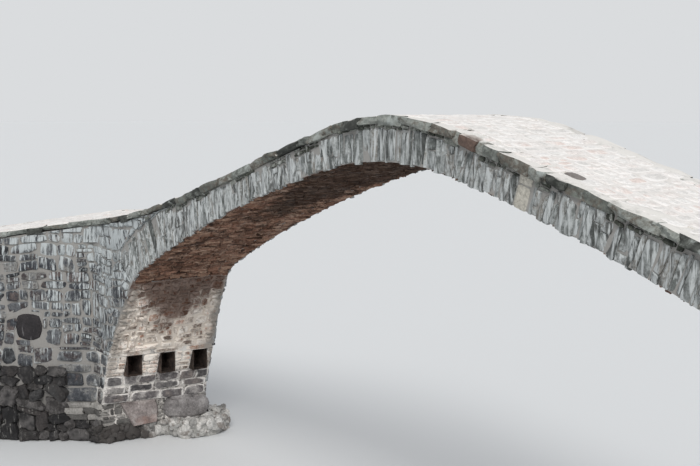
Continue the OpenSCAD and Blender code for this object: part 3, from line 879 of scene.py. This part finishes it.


# Footings: rubble and lime concrete rammed round the foot of each abutment, with a round nose
# at the far corner that has been worn into lumps; river cobbles show all through it.
# Water-worn cobbles: pale dots in the concrete, lost in painted shade on the near side and base
cobble = stone_finish(
    "river_cobbles", ["#797774", "#a2a19e", "#bfbdb9", "#d8d6d2", "#8b8580"], mottle=0.15,
    coats=[("lime", 0.4, "#d6d3cd"), ("painted_undercut_shade", 1.15, "#312c2a"), ("toward_foot", -0.45, "#454240")])
bpy.ops.mesh.primitive_ico_sphere_add(subdivisions=2)
pebble_points, pebble_outline = take_shape()
COBBLES = 520
VOXEL = 0.05
for side, name in SIDES:
    rng = default_rng(88 + side)
    lump = add_object(name + "_footing_mass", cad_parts[name + "_footing"].data.copy())
    edit_all(lump)
    bpy.ops.mesh.remove_doubles(threshold=0.0005)
    bpy.ops.object.mode_set(mode="OBJECT")
    remesh = lump.modifiers.new("remesh", "REMESH")
    remesh.mode = "VOXEL"
    remesh.voxel_size = VOXEL
    bpy.ops.object.modifier_apply(modifier="remesh")
    for scale, depth in ((0.5, 0.22), (0.16, 0.13)):
        clouds = bpy.data.textures.new("cobble_lumps", "CLOUDS")
        clouds.noise_scale = scale
        push = lump.modifiers.new("lumps", "DISPLACE")
        push.texture = clouds
        push.strength = depth
        push.mid_level = 0.55
        bpy.ops.object.modifier_apply(modifier="lumps")
    for v in lump.data.vertices:
        v.co.z = max(v.co.z, 0)
    lump.data.materials.clear()
    lump.data.materials.append(footing_concrete)
    bpy.ops.object.shade_smooth_by_angle(angle=math.radians(50))
    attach(lump, "root")
    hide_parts(name + "_footing")

    outer = [f for f in lump.data.polygons if f.normal.z > -0.2 and f.center.z > 0.04
             and (f.normal.z < 0.6 or abs(f.center.x) < wall_near[0] - 0.05 or f.center.y > far_y)]
    chosen = [outer[i] for i in rng.choice(len(outer), min(COBBLES, len(outer)), replace=False)]
    cobbles = []
    for f in chosen:
        size = 0.035 + 0.11 * rng.uniform() ** 2
        x, y, z = (pebble_points * size * [1.25, 0.95, 0.6] * (
            1 + rng.uniform(-0.14, 0.14, pebble_points.shape))).T
        spin = rng.uniform(0, PHASE)
        turned = np.stack([x * math.cos(spin) - y * math.sin(spin),
                           x * math.sin(spin) + y * math.cos(spin), z])
        to_face = np.array(f.normal.to_track_quat("Z", "X").to_matrix())
        cobbles.append((to_face @ turned).T + np.array(f.center))
    cobbles = np.array(cobbles)
    cobbles[:, :, 2] = np.maximum(cobbles[:, :, 2], 0)
    join_stones(name + "_footing_cobbles", cobble, cobbles, pebble_outline,
                np.zeros(len(pebble_points)), rng)


# Coping: one line of heavy flat stones along each edge of the deck, none the same, bedded in
# mortar and standing out a little; lichen has turned their edges dark and lime whitens their tops.
COPING_W, COPING_OUT, COPING_SHOWN = 0.38, 0.06, 0.1
BROWN_STONE = [1.9, near_y - 0.13, -COPING_T - 0.03, 2.3, near_y + 0.2, 0.004]
# Split fieldstone under lichen: a dark, blotched edge along the deck, its top whitened by lime
coping_stone = stone_finish(
    "lichened_coping", ["#383a37", "#585b56", "#7c807b", "#969a94", "#655e55", "#6d716b"], mottle=0.12,
    coats=[("lime", 0.5, "#a6aca8"), ("lichen", 0.5, "#242723"), ("bleach", 0.95, "#edeae5")])
# One slab of brown sandstone: it breaks the grey line of the coping
brown_coping_stone = stone_finish(
    "brown_coping_stone", ["#4a3c36", "#66544b", "#7d6a60"], mottle=0.12,
    coats=[("lichen", 0.4, "#2b2a26"), ("bleach", 0.8, "#e0d9d2")])
run_s, deck_point = side_line(deck_x, deck_z)


def on_deck(u, v, out):
    """u runs along the deck's own line from the crest, v is the depth."""
    x, z = deck_point(u, out)
    return x, v, z


def on_approach(u, v, out):
    """u runs along the right-hand approach from its near corner, v is square across it."""
    return (BEND_X + math.cos(BEND_A) * u + math.sin(BEND_A) * v,
            near_y - math.sin(BEND_A) * u + math.cos(BEND_A) * v,
            bend_z - APPROACH_SLOPE * np.maximum(u, 0) + out)


def coping_line(u0, u1, v0, v1, grows, rng):
    """A line of coping stones; each stands out its own way on the side that grows, -1 or 1."""
    boxes = []
    for a, _, b, _ in row(0, 1, u0, u1, 0.28, 0.85, rng):
        out = rng.uniform(0, 0.06)
        low, high = (v0 - out, v1 + 0.03) if grows < 0 else (v0 - 0.03, v1 + out)
        boxes.append([a - 0.03, low, -COPING_T - rng.uniform(-0.03, 0.05),
                      b + 0.03, high, rng.uniform(-0.012, 0.008)])
    return boxes


near_run = float(np.interp(BEND_X, deck_x, run_s))
far_run = run_s[-1]
for face, v0, v1, end, grows in (
        ("near", near_y - COPING_OUT, near_y + COPING_W, near_run, -1),
        ("far", far_y - COPING_W, far_y + COPING_OUT, far_run, 1)):
    rng = default_rng(91 + grows)
    line = set_boulders(face + "_coping_stones", coping_stone,
                        coping_line(-end, end, v0, v1, grows, rng), on_deck, rng, rounded=0.28,
                        bulge=0.15)
    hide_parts(*[f"{face}_coping_{part}" for part in ("left", "crown", "right")])
set_boulders("near_brown_coping_stone", brown_coping_stone,
             [BROWN_STONE], on_deck, rng, rounded=0.3)
for side, name in SIDES:
    for face, v0, v1, start, grows in (
            ("near", -COPING_OUT, COPING_W, 0, -1),
            ("far", DECK_W - COPING_W, DECK_W + COPING_OUT, -MITRE_RUN, 1)):
        rng = default_rng(95 + side + 7 * grows)
        line = set_boulders(f"{name}_approach_{face}_coping_stones", coping_stone,
                            coping_line(start, APPROACH_L + 0.02, v0, v1, grows, rng),
                            mirrored(on_approach, side), rng, rounded=0.28, bulge=0.15)
        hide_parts(f"{name}_approach_{face}_coping")


# Paving: flat fieldstones laid in lime over the fill and rubbed by feet until stone and mortar
# are one bleached surface; pink and grey faces show faintly through the white.
# Fieldstone rubbed smooth and bleached: nearly white, with a trace of pink and grey
paving_stone = stone_finish(
    "bleached_paving", ["#f3f0ed", "#eae3de", "#f3f1ee", "#dedbd7", "#f5f3f0", "#e9dbd4"],
    mottle=0.5, flecks=0.6, relief=0.006,
    coats=[("smear", 0.8, "#f5f2ef"), ("lichen", 0.2, "#c2b8b1")])
PAVING_LOOK = dict(joint=0.03, proud=0.01, worn=-0.2, square=(2.5, 5), ragged=0.08, rough=0.0015,
                   tilt=0.002, sink=0.06, warp=0.02, turned=0.1, skew=0.1)


def paved(u0, u1, v0, v1, rng):
    """Flagstones in rough rows across the deck."""
    cells = []
    for a, _, b, _ in row(0, 1, u0, u1, 0.2, 0.5, rng):
        for c, _, d, _ in row(0, 1, v0, v1, 0.3, 0.8, rng):
            cells += rubble([a, c, b, d], 0.34, 0.5, rng)
    return cells


def before_bend(u, v):
    """Keeps a flagstone's corners between the copings, up to the mitre."""
    v = np.clip(v, near_y + COPING_SHOWN, far_y - COPING_SHOWN)
    limit = np.interp(BEND_X + (v - near_y) * math.tan(BEND_A / 2), deck_x, run_s)
    return np.clip(u, -limit, limit), v


def after_bend(u, v):
    """The same on an approach."""
    v = np.clip(v, COPING_SHOWN, DECK_W - COPING_SHOWN)
    return np.clip(u, -v * math.tan(BEND_A / 2), APPROACH_L - 0.01), v


GREY_FLAG = [3.74, near_y + 0.18, 4.08, near_y + 0.52]
# The one flagstone with no lime on it: a bare grey spot in the white deck
grey_flag = stone_finish(
    "bare_grey_flagstone", ["#7d7773", "#918b87", "#a59f9b"], mottle=0.2,
    coats=[("smear", 0.2, "#e4dfd9")])
rng = default_rng(101)
flags = paved(-far_run, far_run, near_y + COPING_SHOWN, far_y - COPING_SHOWN, rng)
lay("deck_paving_stones", "lime_paving", paving_stone, clear_of(flags, GREY_FLAG), on_deck, rng,
    trim=before_bend, **PAVING_LOOK)
lay("deck_grey_flagstone", "lime_paving", grey_flag, [GREY_FLAG], on_deck, rng, **PAVING_LOOK)
for side, name in SIDES:
    rng = default_rng(103 + side)
    lay(name + "_approach_paving_stones", "lime_paving", paving_stone,
        paved(-MITRE_RUN, APPROACH_L, COPING_SHOWN, DECK_W - COPING_SHOWN, rng),
        mirrored(on_approach, side), rng, trim=after_bend, **PAVING_LOOK)

bpy.context.view_layer.update()
